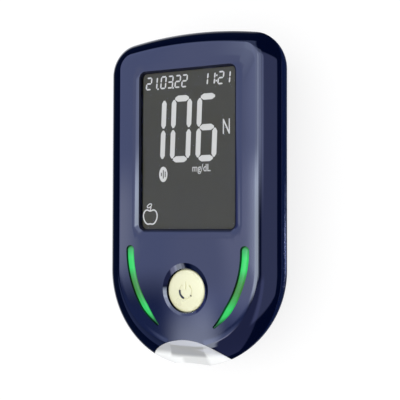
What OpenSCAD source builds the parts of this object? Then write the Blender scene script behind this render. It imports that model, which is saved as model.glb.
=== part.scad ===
// Blood glucose meter, lying on its back: X right, Y towards the top end, Z out of the display.
// The origin is under the middle of the case, on the surface that the meter lies on.

/* [Case] */
// Width of the case at the parting line
body_w = 56; // [53:0.5:60]
// Length of the case
body_len = 94.5; // [92:0.5:100]
// Thickness of the case
body_t = 20; // [19.6:0.1:22]
// Height of the parting line above the back
part_h = 15.6; // [15.2:0.1:16.2]
// Radius of the top end, seen from the front
top_r = 126; // [100:1:200]
// Radius of the upper corners at the parting line
corner_r = 9; // [8:0.1:10]
// Radius of the upper corners at the edge of the face
face_corner_r = 4.6; // [3:0.1:6]
// Radius of the upper corners of the flat back
back_corner_r = 7; // [5:0.1:8]
// Half the straight stretch at the lower end
chin_flat = 1.2; // [0.5:0.1:3]
// Width of the front bevel along the sides
bevel_side = 5.35; // [4.8:0.05:5.6]
// Width of the front bevel at the top end
bevel_top = 3.5; // [3:0.1:4]
// Width of the front bevel at the lower end
bevel_chin = 5.85; // [5:0.1:6.5]
// Inset of the flat back, as a multiple of the front bevel
back_share = 1.85; // [1.7:0.05:1.95]
// Rise of the face from its edge to its middle
crown = 0.43; // [0.1:0.01:0.6]
// Roundness of the front bevel: 1 is a flat chamfer, 2 an ellipse
front_power = 1.31; // [1.1:0.01:1.8]
// Roundness of the back: 1 is a flat chamfer, 2 an ellipse
back_power = 1.6; // [1.4:0.01:2]
// Wall thickness of the sides
side_wall = 1.2; // [1:0.1:1.4]
// Thickness of the face
face_wall = 1.5; // [1.3:0.05:1.6]
// Thickness of the back
back_wall = 1.4; // [1.3:0.05:1.5]

/* [Display] */
// Width of the display window
window_w = 32; // [28:0.5:33]
// Length of the display window
window_len = 46; // [40:0.5:46.5]
// Distance of the window from the top end
window_from_top = 10.45; // [10:0.05:11.2]
// Corner radius of the window
window_corner_r = 2; // [1:0.1:3]
// Thickness of the window pane
window_t = 0.9; // [0.8:0.05:1]
// Depth of the pane below the middle of the face
window_drop = 0.75; // [0.6:0.05:0.8]
// Width of the sloped border round the window
border_w = 2; // [1.5:0.1:2.2]
// Depth of the sloped border
border_drop = 0.45; // [0.3:0.05:0.5]
// Width of the ledge that carries the pane
ledge_w = 0.5; // [0.4:0.05:0.6]
// Thickness of the adhesive under the pane
tape_t = 0.1; // [0.05:0.05:0.15]
// Thickness of one display glass
glass_t = 0.75; // [0.6:0.05:0.8]
// Gap between the pane and the display glass
glass_drop = 0.15; // [0.1:0.05:0.3]
// Width of the glass beyond the window, on each side
glass_margin = 0.5; // [0.4:0.05:0.6]
// Length of the contact ledge of the lower glass
glass_ledge = 2.2; // [1.8:0.1:2.4]
// Wall thickness of the display frame
lcd_frame_wall = 0.8; // [0.6:0.05:0.85]

/* [Power button] */
// How far the button lies below the middle between the window's border and the lens
button_shift = 0.5; // [0:0.1:1]
// Radius of the button
button_r = 6; // [5:0.1:6.4]
// Travel of the button
button_travel = 0.5; // [0.2:0.05:0.6]
// Depth of the button's face below the edge of the face
button_drop = 0.3; // [0.1:0.05:0.5]
// Radius of the dish round the button
dish_r = 7.5; // [7:0.1:8]
// Radius of the sphere that hollows the dish
dish_sphere_r = 12; // [10:0.5:16]
// Gap round the button
button_gap = 0.12; // [0.08:0.01:0.2]
// Height of the flange that keeps the button in
button_flange_t = 0.6; // [0.5:0.05:0.7]
// Width of that flange
button_flange_w = 0.9; // [0.7:0.05:1]
// Radius of the switch plunger
plunger_r = 1.7; // [1.4:0.05:1.9]
// Width of the switch
switch_w = 6.2; // [5:0.1:6.5]
// Height of the switch
switch_h = 1.4; // [1.3:0.05:1.45]

/* [Light bars] */
// Radius of the curve that each bar follows
bar_path_r = 28; // [27:0.1:29]
// Distance of a bar's round end from the middle of the case
bar_end_x = 18.8; // [18.6:0.1:19.2]
// Height of a bar's round end above the middle of the button
bar_above_button = 11.3; // [10:0.1:12]
// Angle of the bar's tip
bar_tip_angle = -49.5; // [-51:0.5:-44]
// Width of a bar at its round end
bar_w = 2.1; // [1.5:0.1:2.4]
// Depth of the bar's face below the edge of the face
bar_drop = 0.1; // [0.05:0.05:0.2]
// Gap round a bar in its slot
bar_gap = 0.08; // [0.05:0.01:0.12]
// Width of the flange under the face, round a bar
bar_flange_w = 0.3; // [0.25:0.05:0.4]

/* [Strip port] */
// Radius of the port lens, seen from the front
lens_r = 18.7; // [18:0.1:19.5]
// Length of the lens along the case
lens_len = 7.45; // [6.9:0.05:7.7]
// Height of the lens's lower edge above the back
lens_z = 9; // [8.5:0.1:9.4]
// Wall thickness of the lens
lens_wall = 2.2; // [2:0.05:2.4]
// Depth of the hollow that guides the strip in
scoop_drop = 0.8; // [0.5:0.05:1]
// Radius of that hollow
scoop_r = 40; // [30:1:60]
// Width of the strip slot
slot_w = 7.4; // [6.5:0.1:8]
// Height of the strip slot
slot_h = 1.1; // [0.9:0.05:1.2]
// Width of the strip connector
connector_w = 11; // [10.2:0.1:11.4]
// Length of the strip connector
connector_len = 12.4; // [11.8:0.1:12.5]
// Height of the strip connector
connector_h = 3.4; // [3.2:0.05:3.5]
// Distance of the strip connector from the lower end
connector_inset = 4.6; // [4.4:0.1:5]
// Width of a spring finger
finger_w = 0.6; // [0.5:0.05:0.8]
// Distance between the spring fingers
finger_pitch = 2; // [1.8:0.1:2.2]

/* [Circuit board] */
// Thickness of the board
board_t = 1; // [0.8:0.05:1.05]
// Distance of the board's edge from the outside of the case
board_inset = 2.4; // [2.2:0.05:2.8]
// Distance of the board's lower end from the lower end of the case
board_from_chin = 8.95; // [8.5:0.05:9.3]
// Width of the microcontroller
micro_w = 7; // [6:0.5:7]
// Height of the microcontroller
micro_h = 0.9; // [0.7:0.1:1.2]
// Width of the measuring chip
analog_w = 4; // [3:0.5:4.5]
// Height of the measuring chip
analog_h = 0.8; // [0.6:0.1:1]
// Width of the radio module
radio_w = 8; // [7:0.5:9]
// Length of the radio module
radio_len = 10; // [9:0.5:11]
// Height of the radio module with its shield
radio_h = 1.8; // [1.5:0.1:2.2]
// Length of the crystal
crystal_len = 3.2; // [2.5:0.1:3.5]
// Width of the crystal
crystal_w = 1.5; // [1.2:0.1:1.8]
// Length of a small part
part_len = 1; // [0.8:0.1:1.2]
// Width of a small part
part_w = 0.6; // [0.4:0.05:0.7]
// Distance between the small parts
part_pitch = 1.8; // [1.6:0.1:2]
// Radius of the buzzer
buzzer_r = 4.5; // [4:0.1:4.8]
// Height of the buzzer
buzzer_h = 2.5; // [2:0.1:3]

/* [Batteries] */
// Radius of a cell
cell_r = 5.25; // [5.1:0.01:5.3]
// Length of a cell with its contact stud
cell_len = 44.5; // [43.8:0.1:44.6]
// Radius of the contact stud
cell_stud_r = 1.9; // [1.5:0.1:2.2]
// Length of the contact stud
cell_stud_len = 0.8; // [0.6:0.1:1]
// Distance between the cells
cell_gap = 0.4; // [0.3:0.05:0.5]
// Space that a contact spring takes
spring_len = 2.9; // [2.7:0.1:3]
// Wire radius of a spring
spring_wire_r = 0.2; // [0.18:0.01:0.22]
// Curls of a spring
spring_turns = 3; // [2:1:3]
// Radius of a spring at its plate
spring_base_r = 3.8; // [3.7:0.1:4]
// Radius of a spring at the cell
spring_tip_r = 2.1; // [1.9:0.1:2.2]
// Thickness of a contact plate
plate_t = 0.4; // [0.3:0.05:0.5]
// Thickness of the tray's walls
tray_wall = 0.8; // [0.7:0.05:0.9]
// Thickness of the tray's roof
tray_roof = 0.6; // [0.5:0.05:0.65]
// Upper end of the tray, from the top end of the case
tray_from_top = 8.05; // [8:0.05:8.4]

/* [Battery door] */
// Half width of the door's outer plate
door_half_w = 14; // [13.6:0.1:14.2]
// Width of the tongue on each side of the door
tongue_w = 1.2; // [1:0.05:1.25]
// Thickness of the tongue
tongue_t = 0.95; // [0.8:0.05:1]
// Gap round the door
door_gap = 0.12; // [0.08:0.01:0.15]
// Grip grooves in the door
grip_count = 5; // [3:1:7]
// Distance between grip grooves
grip_pitch = 2; // [1.8:0.1:2.2]
// Depth of grip grooves and arrow
grip_depth = 0.4; // [0.2:0.05:0.5]

/* [Screws] */
// Radius of a screw's shank
screw_r = 0.95; // [0.9:0.05:1]
// Radius of a screw's head
screw_head_r = 1.9; // [1.7:0.05:1.95]
// Height of a screw's head
screw_head_h = 1.4; // [1.2:0.05:1.5]
// Height of the seat under a screw's head
screw_seat_z = 4; // [3.8:0.1:4.2]
// Distance of the upper screws from the middle
upper_screw_x = 20.3; // [20.2:0.05:20.5]
// Distance of the upper screws from the top end
upper_screw_from_top = 16.25; // [15.5:0.25:18]
// Distance of the lower screws from the middle
lower_screw_x = 11.5; // [11:0.1:12]
// Clear distance of the lower screws' front bosses from the display frame
lower_screw_clear = 2.9; // [2.8:0.05:3.2]
// Radius of a front boss
front_boss_r = 2.2; // [2:0.05:2.25]
// Radius of a back boss
back_boss_r = 2.9; // [2.8:0.05:3]

/* [Hidden] */
$fn = 48;

touch_gap = 0.05;      // between pieces that seat on each other
seat_gap = 0.15;       // round the cells
cut = 0.5;             // by which a cut runs past a face
inner_inset = 0.9;     // in-plane part of the front bevel's wall
half_w = body_w / 2;
top_y = body_len / 2;
chin_y = -body_len / 2;
face_edge_z = body_t - crown;
bevel_h = face_edge_z - part_h;
ceiling_z = face_edge_z - face_wall;

// Stack of the cells, the board and the display, from the back upwards
rail_z = back_wall + tongue_t + 2 * touch_gap;
cell_z = rail_z + seat_gap + cell_r;
cell_x = cell_r + cell_gap / 2;
roof_z = cell_z + cell_r + seat_gap;
board_z = roof_z + tray_roof;
board_top = board_z + board_t;
pane_z = body_t - window_drop - window_t;
ledge_z = pane_z - tape_t;
glass_z = pane_z - glass_drop - 2 * glass_t;
lcd_frame_top = glass_z + glass_t + touch_gap;
guide_z = board_top + touch_gap;
guide_t = glass_z - touch_gap - guide_z;

// Window and display outlines
window_y = top_y - window_from_top - window_len / 2;
window_low_y = window_y - window_len / 2;
glass_half_w = window_w / 2 + glass_margin;
glass_top_y = window_y + window_len / 2 + glass_margin + 0.7;
glass_low_y = window_low_y - glass_margin - glass_ledge;
lcd_frame_half_w = glass_half_w + touch_gap + lcd_frame_wall;
lcd_frame_len = glass_top_y - glass_low_y + 2 * (touch_gap + lcd_frame_wall);
lcd_y = (glass_top_y + glass_low_y) / 2;
lcd_frame_low = lcd_y - lcd_frame_len / 2;

// Port
lens_top_y = chin_y + lens_len;
lens_centre_y = lens_top_y - lens_r;
slot_z = board_z - 1.7;
connector_end = chin_y + connector_inset;
board_end_y = chin_y + board_from_chin;

// Button stack
button_y = (window_low_y - border_w + lens_top_y) / 2 - button_shift;
button_top = face_edge_z - button_drop;
button_base = ceiling_z - 0.25 - button_flange_t;
plunger_z = board_top + switch_h - 0.4;
plunger_top = button_base - 0.3;
switch_floor = plunger_z - button_travel - 2 * touch_gap;

// Light bars
bar_centre_x = bar_end_x - bar_path_r;
bar_centre_y = button_y + bar_above_button;
bar_face_z = face_edge_z - bar_drop;
led_h = 0.8;
bar_base_z = board_top + led_h + 0.3;
bar_flange_top = ceiling_z - seat_gap;
bar_mid_angle = bar_tip_angle / 2;

// Battery compartment along the case
tray_top = top_y - tray_from_top;
cavity_top = tray_top - tray_wall;
cavity_len = cell_len + spring_len + 2 * plate_t;
cavity_low = cavity_top - cavity_len;
tray_low = cavity_low - tray_wall;
tray_half_w = cell_x + cell_r + seat_gap + tray_wall;
door_low = tray_low - tray_wall;
tongue_reach = 1;      // by which the door's tongues run on under the back
rail_x = door_half_w + tongue_w + 2 * door_gap;
rail_w = 1.2;
flange_half_w = rail_x + rail_w - touch_gap;
flange_top_y = tray_top - 0.6;

// Screws: the lower ones clear both the display frame and the door
upper_screw_y = top_y - upper_screw_from_top;
lower_screw_y = min(lcd_frame_low - lower_screw_clear - front_boss_r,
                    tray_low - lower_screw_clear - back_boss_r - tongue_reach);
screw_points = [[-upper_screw_x, upper_screw_y], [upper_screw_x, upper_screw_y],
                [-lower_screw_x, lower_screw_y], [lower_screw_x, lower_screw_y]];
screw_tip_z = ceiling_z - 0.7;
shank_gap = 0.05;

navy = [0.07, 0.09, 0.25];
gold = [0.93, 0.88, 0.66];

// ---- outlines and lofts -------------------------------------------------------------------

// Points of an arc with their outward directions: [x, y, nx, ny]
function arc_run(cx, cy, r, from, to, steps, first = 0) =
    [for (i = [first : steps]) let (a = from + (to - from) * i / steps)
        [cx + r * cos(a), cy + r * sin(a), cos(a), sin(a)]];

// Right half of the case's outline, from the top middle to the chin
function half_outline(w, yt, yb, r) =
    let (rise = sqrt((top_r - r) * (top_r - r) - (w - r) * (w - r)),
         cy = yt - top_r + rise,
         turn = atan2(rise, w - r),
         rc = w - chin_flat)
    concat(arc_run(0, yt - top_r, top_r, 90, turn, 5),
           arc_run(w - r, cy, r, turn, 0, 8, 1),
           arc_run(chin_flat, yb + rc, rc, 0, -90, 14));

// One ring of the case: k is the share of the inset, off the distance to the inside
function ring(k, r, z, off = 0) =
    let (h = half_outline(half_w - bevel_side * k, top_y - bevel_top * k,
                          chin_y + bevel_chin * k, r),
         n = len(h))
    [for (i = [0 : 2 * n - 2]) let (p = i < n ? h[i] : h[2 * n - 1 - i], s = i < n ? 1 : -1)
        [s * (p[0] - p[2] * off), p[1] - p[3] * off, z]];

// Ring of the front bevel, t from 0 at the face to 1 at the parting line
function front_ring(t, off = 0, drop = 0) =
    let (k = 1 - pow(sin(90 * t), 2 / front_power))
    ring(k, corner_r + (face_corner_r - corner_r) * k,
         part_h + bevel_h * pow(cos(90 * t), 2 / front_power) - drop, off);

// Ring of the back, t from 0 at the parting line to 1 at the flat back
function back_ring(t, off = 0, lift = 0) =
    let (q = 1 - pow(cos(90 * t), 2 / back_power))
    ring(back_share * q, corner_r + (back_corner_r - corner_r) * q,
         part_h * (1 - pow(sin(90 * t), 2 / back_power)) + lift, off);

// Ring on the crowned face, s from 1 at its edge inwards
crown_middle = 0.25;
function face_ring(s) =
    [for (p = ring(1, face_corner_r, 0)) [p[0] * s, p[1] * s,
        body_t - crown * (s * s - crown_middle * crown_middle)
                 / (1 - crown_middle * crown_middle)]];

// Closed solid through a list of rings
module loft(rings) {
    n = len(rings[0]);
    last = len(rings) - 1;
    points = [for (r = rings, p = r) p];
    sides = [for (j = [0 : last - 1], i = [0 : n - 1]) let (m = (i + 1) % n)
        each [[j * n + i, (j + 1) * n + m, j * n + m], [j * n + i, (j + 1) * n + i, (j + 1) * n + m]]];
    first_cap = [[for (i = [0 : n - 1]) i]];
    last_cap = [[for (i = [n - 1 : -1 : 0]) last * n + i]];
    polyhedron(points, concat(first_cap, sides, last_cap), convexity = 6);
}

// Outside of the front half, from the face down to the parting line
module front_outer() {
    loft(concat([for (s = [crown_middle, 0.5, 0.75]) face_ring(s)],
                [for (i = [0 : 6]) front_ring(i / 6)]));
}

// Inside of the front half
module front_inner(off) {
    loft([for (i = [0 : 5]) front_ring(i / 5, off, face_wall)]);
}

// Outside of the back half
module back_outer() {
    loft([for (i = [0 : 7]) back_ring(i / 7)]);
}

// Inside of the back half, lifted by the floor and drawn in by the wall
module back_inner(off) {
    loft([for (i = [0 : 6]) back_ring(i / 6, off, back_wall)]);
}

// ---- small shapes that repeat -------------------------------------------------------------

// Plate with round corners, its lower face at z
module rounded_plate(w, l, t, r, z) {
    translate([0, 0, z]) linear_extrude(t) {
        square([w - 2 * r, l], center = true);
        square([w, l - 2 * r], center = true);
        for (x = [-1, 1], y = [-1, 1])
            translate([x * (w / 2 - r), y * (l / 2 - r)]) circle(r);
    }
}

// Box given by its middle across and along, and its lower face
module block(x, y, z, w, l, h) {
    translate([x - w / 2, y - l / 2, z]) cube([w, l, h]);
}

// Window outline grown by more, at the window's place
module window_plate(more, t, z) {
    translate([0, window_y, 0])
        rounded_plate(window_w + 2 * more, window_len + 2 * more, t, window_corner_r + more, z);
}

// Outline of a light bar grown by more: half width falls to a point at the tip
bar_steps = 22;
bar_tip_half = 0.04;
function bar_half(s) =
    max(bar_tip_half, bar_w / 2 * (1 - 0.15 * s) * pow(min(1, (1 - s) / 0.22), 0.7));
function bar_edge(side, more) =
    [for (i = [0 : bar_steps]) let (s = i / bar_steps, a = bar_tip_angle * s,
                                    r = bar_path_r + side * (bar_half(s) + more))
        [bar_centre_x + r * cos(a), bar_centre_y + r * sin(a)]];
function reversed(list) = [for (i = [len(list) - 1 : -1 : 0]) list[i]];

module bar_shape(more, z, h) {
    translate([0, 0, z]) linear_extrude(h) {
        polygon(concat(bar_edge(1, more), reversed(bar_edge(-1, more))));
        translate([bar_centre_x + bar_path_r, bar_centre_y]) circle(bar_w / 2 + more);
    }
}

module bar_solid() {
    bar_shape(0, bar_base_z, bar_face_z - bar_base_z);
    bar_shape(bar_flange_w, bar_base_z, bar_flange_top - bar_base_z);
}

// Upright cylinder that gives the lens its upper edge
module lens_column(grow) {
    translate([0, lens_centre_y, lens_z - grow]) cylinder(r = lens_r + grow, h = body_t);
}

// ---- case ---------------------------------------------------------------------------------

module front_cover() {
    color(navy) difference() {
        union() {
            difference() {
                front_outer();
                front_inner(inner_inset);
            }
            // seat under the display window
            difference() {
                block(0, lcd_y, lcd_frame_top + touch_gap, 2 * lcd_frame_half_w,
                      lcd_frame_len, pane_z - lcd_frame_top - touch_gap);
                window_plate(-ledge_w, body_t, lcd_frame_top - cut);
            }
            for (p = screw_points)
                translate([p[0], p[1], board_top])
                    cylinder(r = front_boss_r, h = ceiling_z - board_top + cut);
        }
        // sloped border, pane pocket and opening
        hull() {
            window_plate(border_w, body_t, body_t);
            window_plate(border_w, 0.01, face_edge_z + crown / 2);
            window_plate(0, 0.01, face_edge_z + crown / 2 - border_drop);
        }
        window_plate(0, body_t, ledge_z);
        window_plate(-ledge_w, body_t, lcd_frame_top - cut);
        // button hole and dish
        translate([0, button_y, 0]) {
            cylinder(r = button_r + button_gap, h = 2 * body_t);
            translate([0, 0, face_edge_z + crown / 2 + sqrt(dish_sphere_r * dish_sphere_r
                                                            - dish_r * dish_r)])
                sphere(dish_sphere_r, $fn = 96);
        }
        bar_shape(bar_gap, board_top, body_t);
        mirror([1, 0, 0]) bar_shape(bar_gap, board_top, body_t);
        lens_column(touch_gap);
        for (p = screw_points)
            translate([p[0], p[1], board_top - cut])
                cylinder(r = screw_r + shank_gap, h = screw_tip_z + 0.2 - board_top + cut);
    }
}

module rear_cover() {
    boss_top = board_z;
    color(navy) difference() {
        union() {
            difference() {
                back_outer();
                back_inner(side_wall);
            }
            intersection() {
                back_outer();
                union() {
                    for (p = screw_points)
                        translate([p[0], p[1], 0]) cylinder(r = back_boss_r, h = boss_top);
                    // rails that carry the battery tray and guide the door
                    for (x = [-1, 1])
                        block(x * (rail_x + rail_w / 2), (door_low + flange_top_y) / 2, 0.2,
                              rail_w, flange_top_y - door_low, rail_z - 0.2);
                }
            }
        }
        // doorway in the back, open through the top end
        translate([-door_half_w - door_gap, door_low - door_gap, -cut])
            cube([2 * (door_half_w + door_gap), body_len, rail_z + cut]);
        translate([-rail_x + touch_gap, door_low - tongue_reach - door_gap, back_wall])
            cube([2 * (rail_x - touch_gap), body_len, rail_z - back_wall]);
        lens_column(touch_gap);
        for (p = screw_points) translate([p[0], p[1], 0]) {
            translate([0, 0, -cut]) cylinder(r = screw_r + 0.2, h = body_t);
            translate([0, 0, -cut]) cylinder(r = screw_head_r + 0.2, h = screw_seat_z + cut);
        }
    }
}

module battery_door() {
    plate_top = back_wall + touch_gap;
    grip_w = door_half_w;
    grip_from = door_low + 4;
    arrow_y = grip_from + grip_count * grip_pitch + 3;
    color(navy) difference() {
        intersection() {
            back_outer();
            union() {
                translate([-door_half_w, door_low, -cut])
                    cube([2 * door_half_w, body_len, plate_top + tongue_t + cut]);
                translate([-door_half_w - tongue_w, door_low - tongue_reach, plate_top])
                    cube([2 * (door_half_w + tongue_w), body_len, tongue_t]);
            }
        }
        for (i = [0 : grip_count - 1])
            block(0, grip_from + i * grip_pitch, -cut, grip_w, grip_pitch / 2, grip_depth + cut);
        translate([0, arrow_y, -cut]) linear_extrude(grip_depth + cut)
            polygon([[-3, 0], [3, 0], [0, 4]]);
    }
}

// ---- display ------------------------------------------------------------------------------

module display_window() {
    color([0.3, 0.3, 0.31, 0.5]) window_plate(-touch_gap, window_t, pane_z);
}

module window_tape() {
    color("black") difference() {
        window_plate(-0.1, tape_t, ledge_z);
        window_plate(0.1 - ledge_w, body_t, ledge_z - cut);
    }
}

// The lower glass lies in the frame, the upper one fills the opening under the pane
module lcd_glass() {
    color([0.25, 0.25, 0.26]) {
        block(0, lcd_y, glass_z, 2 * glass_half_w, glass_top_y - glass_low_y, glass_t);
        window_plate(-ledge_w - 2 * touch_gap, glass_t, glass_z + glass_t);
    }
}

module lcd_frame() {
    color("black") difference() {
        block(0, lcd_y, board_top, 2 * lcd_frame_half_w, lcd_frame_len, lcd_frame_top - board_top);
        block(0, lcd_y, board_top - cut, 2 * (lcd_frame_half_w - lcd_frame_wall),
              lcd_frame_len - 2 * lcd_frame_wall, body_t);
    }
}

module backlight_guide() {
    low = glass_low_y + glass_ledge;
    color([0.9, 0.95, 0.95])
        block(0, (glass_top_y + low) / 2, guide_z, 2 * glass_half_w, glass_top_y - low, guide_t);
}

module lcd_connector() {
    color([0.9, 0.5, 0.5])
        block(0, glass_low_y + glass_ledge / 2, board_top + touch_gap / 2, 2 * glass_half_w - 3,
              glass_ledge - 1, glass_z - board_top - touch_gap);
}

// ---- board --------------------------------------------------------------------------------

module main_board() {
    tab_w = 2.4;
    color([0.05, 0.3, 0.15]) difference() {
        translate([0, 0, board_z]) linear_extrude(board_t)
            polygon([for (p = ring(0, corner_r, 0, board_inset)) [p[0], p[1]]]);
        block(0, board_end_y - body_len / 2, board_z - cut, body_w, body_len, board_t + 2 * cut);
        for (p = screw_points)
            translate([p[0], p[1], board_z - cut])
                cylinder(r = screw_r + 0.35, h = board_t + 2 * cut);
        for (x = [-cell_x, cell_x])
            block(x, cavity_low + plate_t / 2, board_z - cut, tab_w, 2 * plate_t,
                  board_t + 2 * cut);
    }
}

// The chips hang under the board in the room between the battery tray and the strip connector
part_space = 1.5;
connector_top = connector_end + connector_len;
micro_y = tray_low - part_space - micro_w / 2;
micro_x = -(part_space + analog_w) / 2;
module microcontroller() {
    color([0.1, 0.1, 0.1]) block(micro_x, micro_y, board_z - micro_h, micro_w, micro_w, micro_h);
}

analog_x = (micro_w + part_space) / 2;
module analog_chip() {
    color([0.1, 0.1, 0.1])
        block(analog_x, connector_top + part_space + analog_w / 2, board_z - analog_h,
              analog_w, analog_w, analog_h);
}

module crystal() {
    color([0.8, 0.8, 0.8])
        block(analog_x, tray_low - part_space, board_z - 0.7, crystal_len, crystal_w, 0.7);
}

// The radio and the buzzer hang beside the battery tray, clear of the upper screws
beside_tray = tray_half_w + part_space;
module radio_module() {
    board_part = radio_h / 3;
    x = -beside_tray - radio_w / 2;
    y = upper_screw_y - back_boss_r - part_space - radio_len / 2;
    color([0.75, 0.75, 0.78]) {
        block(x, y, board_z - board_part, radio_w, radio_len, board_part);
        block(x, y - 1, board_z - radio_h, radio_w - 1, radio_len - 3, radio_h - board_part);
    }
}

module buzzer() {
    hole_r = 0.8;
    color([0.08, 0.08, 0.08])
        translate([beside_tray + buzzer_r, upper_screw_y - back_boss_r - part_space - buzzer_r, 0])
            difference() {
                translate([0, 0, board_z - buzzer_h]) cylinder(r = buzzer_r, h = buzzer_h);
                translate([0, 0, board_z - buzzer_h - cut]) cylinder(r = hole_r, h = 1 + cut);
            }
}

// Small capacitors and resistors in a row on each side of the strip connector
module board_parts() {
    color([0.6, 0.5, 0.35])
        for (side = [-1, 1], i = [0 : 6])
            block(side * (connector_w / 2 + part_space), board_end_y + 1 + i * part_pitch,
                  board_z - part_w, part_len, part_w, part_w);
}

module tact_switch() {
    color([0.75, 0.75, 0.77]) difference() {
        block(0, button_y, board_top, switch_w, switch_w, switch_h);
        translate([0, button_y, switch_floor])
            cylinder(r = plunger_r + touch_gap, h = body_t);
    }
}

module bar_leds() {
    color([0.9, 0.95, 0.9]) for (x = [-1, 1], a = [bar_mid_angle / 2, bar_mid_angle * 1.4])
        block(x * (bar_centre_x + bar_path_r * cos(a)), bar_centre_y + bar_path_r * sin(a),
              board_top, 1.6, 1.6, led_h);
}

module port_led() {
    color([0.95, 0.95, 0.9]) block(0, board_end_y + 1, board_top, 3, 1.6, 1);
}

// ---- power button -------------------------------------------------------------------------

module tact_plunger() {
    color([0.2, 0.2, 0.2]) translate([0, button_y, plunger_z])
        cylinder(r = plunger_r, h = plunger_top - plunger_z);
}

module button_cap() {
    edge = 0.25;
    color(gold) translate([0, button_y, 0]) {
        translate([0, 0, button_base]) cylinder(r = button_r, h = button_top - edge - button_base);
        translate([0, 0, button_base]) cylinder(r = button_r + button_flange_w, h = button_flange_t);
        translate([0, 0, button_top - edge]) cylinder(r1 = button_r, r2 = button_r - edge, h = edge);
        translate([0, 0, plunger_top]) cylinder(r = plunger_r, h = button_base - plunger_top);
    }
}

// ---- light bars and port ------------------------------------------------------------------

module right_light_bar() {
    color([0.25, 0.85, 0.45]) bar_solid();
}

module left_light_bar() {
    color([0.25, 0.85, 0.45]) mirror([1, 0, 0]) bar_solid();
}

module port_lens() {
    color([0.85, 0.87, 0.88, 0.8]) difference() {
        intersection() {
            union() {
                difference() {
                    front_outer();
                    front_inner(lens_wall);
                }
                difference() {
                    back_outer();
                    back_inner(lens_wall);
                }
            }
            lens_column(0);
        }
        translate([0, chin_y + scoop_drop - scoop_r, 0]) cylinder(r = scoop_r, h = body_t, $fn = 96);
        block(0, chin_y, slot_z - slot_h / 2, slot_w, 4 * lens_wall, slot_h);
    }
}

module strip_connector() {
    color([0.85, 0.85, 0.82]) difference() {
        block(0, connector_end + connector_len / 2, board_z - connector_h, connector_w,
              connector_len, connector_h);
        block(0, connector_end, slot_z - slot_h / 2, slot_w, 1.6 * connector_len, slot_h);
        for (x = [-1, 0, 1])
            block(x * finger_pitch, connector_end + connector_len / 2, slot_z,
                  finger_w + 2 * seat_gap, connector_len - 3, board_z - slot_z - 0.3);
    }
}

// Three spring fingers that press on the strip
module strip_contacts() {
    finger_len = connector_len - 3.4;
    color([0.9, 0.75, 0.4]) for (x = [-1, 0, 1])
        block(x * finger_pitch, connector_end + connector_len / 2, board_z - 0.65,
              finger_w, finger_len, 0.3);
}

// ---- batteries ----------------------------------------------------------------------------

module battery_tray() {
    cavity_half_w = tray_half_w - tray_wall;
    tray_mid = (tray_top + tray_low) / 2;
    tab_w = 2.4;
    color([0.12, 0.12, 0.14]) difference() {
        union() {
            block(0, tray_mid, rail_z + touch_gap, 2 * tray_half_w, tray_top - tray_low,
                  board_z - rail_z - touch_gap);
            block(0, (flange_top_y + tray_low) / 2, rail_z, 2 * flange_half_w,
                  flange_top_y - tray_low, 0.8);
        }
        difference() {
            block(0, (cavity_top + cavity_low) / 2, -cut, 2 * cavity_half_w, cavity_len,
                  roof_z + cut);
            // rib between the cells
            block(0, (cavity_top + cavity_low) / 2, cell_z + 3.2, 1.2, cavity_len - 12, cell_r);
        }
        for (x = [-cell_x, cell_x])
            block(x, cavity_low + plate_t / 2, roof_z - cut, tab_w, 2 * plate_t, 2 * tray_roof + cut);
    }
}

// A cell along Y: its stud end at y_stud, pointing up (dir 1) or down (dir -1)
module cell(x, y_stud, dir) {
    body_part = cell_len - cell_stud_len;
    translate([x, y_stud, cell_z]) rotate([dir * 90, 0, 0]) {
        cylinder(r = cell_stud_r, h = cell_stud_len);
        translate([0, 0, cell_stud_len]) cylinder(r = cell_r, h = body_part);
    }
}

module battery_left() {
    color([0.2, 0.2, 0.22]) cell(-cell_x, cavity_top - plate_t, 1);
}

module battery_right() {
    color([0.2, 0.2, 0.22]) cell(cell_x, cavity_low + plate_t, -1);
}

// One contact spring: a wire swept along a narrowing helix from its plate at y = 0
spring_rings = 8 * spring_turns;
wire_sides = 6;
spring_rise = spring_len - 4 * spring_wire_r;
function helix(t) =
    let (r = spring_base_r + (spring_tip_r - spring_base_r) * t, a = 360 * spring_turns * t)
    [r * cos(a), 1.5 * spring_wire_r + spring_rise * t, r * sin(a)];
module contact_spring() {
    points = [for (i = [0 : spring_rings]) let (t = i / spring_rings, c = helix(t),
                                                a = 360 * spring_turns * t)
        for (j = [0 : wire_sides - 1]) let (b = 360 * j / wire_sides)
            [c[0] + spring_wire_r * cos(b) * cos(a), c[1] + spring_wire_r * sin(b),
             c[2] + spring_wire_r * cos(b) * sin(a)]];
    sides = [for (i = [0 : spring_rings - 1], j = [0 : wire_sides - 1])
        let (m = (j + 1) % wire_sides, p = i * wire_sides, q = p + wire_sides)
        each [[p + j, q + m, p + m], [p + j, q + j, q + m]]];
    last = spring_rings * wire_sides;
    polyhedron(points, concat([[for (j = [0 : wire_sides - 1]) j]], sides,
                              [[for (j = [wire_sides - 1 : -1 : 0]) last + j]]));
}

// Least gap between neighbouring curls of a spring
spring_gap = min([for (i = [0 : spring_rings - 8], j = [-2 : 2]) if (i + 8 + j <= spring_rings)
    norm(helix((i + 8 + j) / spring_rings) - helix(i / spring_rings)) - 2 * spring_wire_r]);
echo(spring_gap = spring_gap);

module battery_springs() {
    color([0.8, 0.8, 0.8]) {
        translate([-cell_x, cavity_low + plate_t, cell_z]) contact_spring();
        translate([cell_x, cavity_top - plate_t, cell_z]) mirror([0, 1, 0]) contact_spring();
    }
}

plate_h = 2 * cell_r - 1;
module bridge_contact() {
    color([0.8, 0.8, 0.8]) block(0, cavity_top - plate_t / 2, cell_z - plate_h / 2,
                                 2 * (cell_x + cell_r) - 2, plate_t, plate_h);
}

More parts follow.
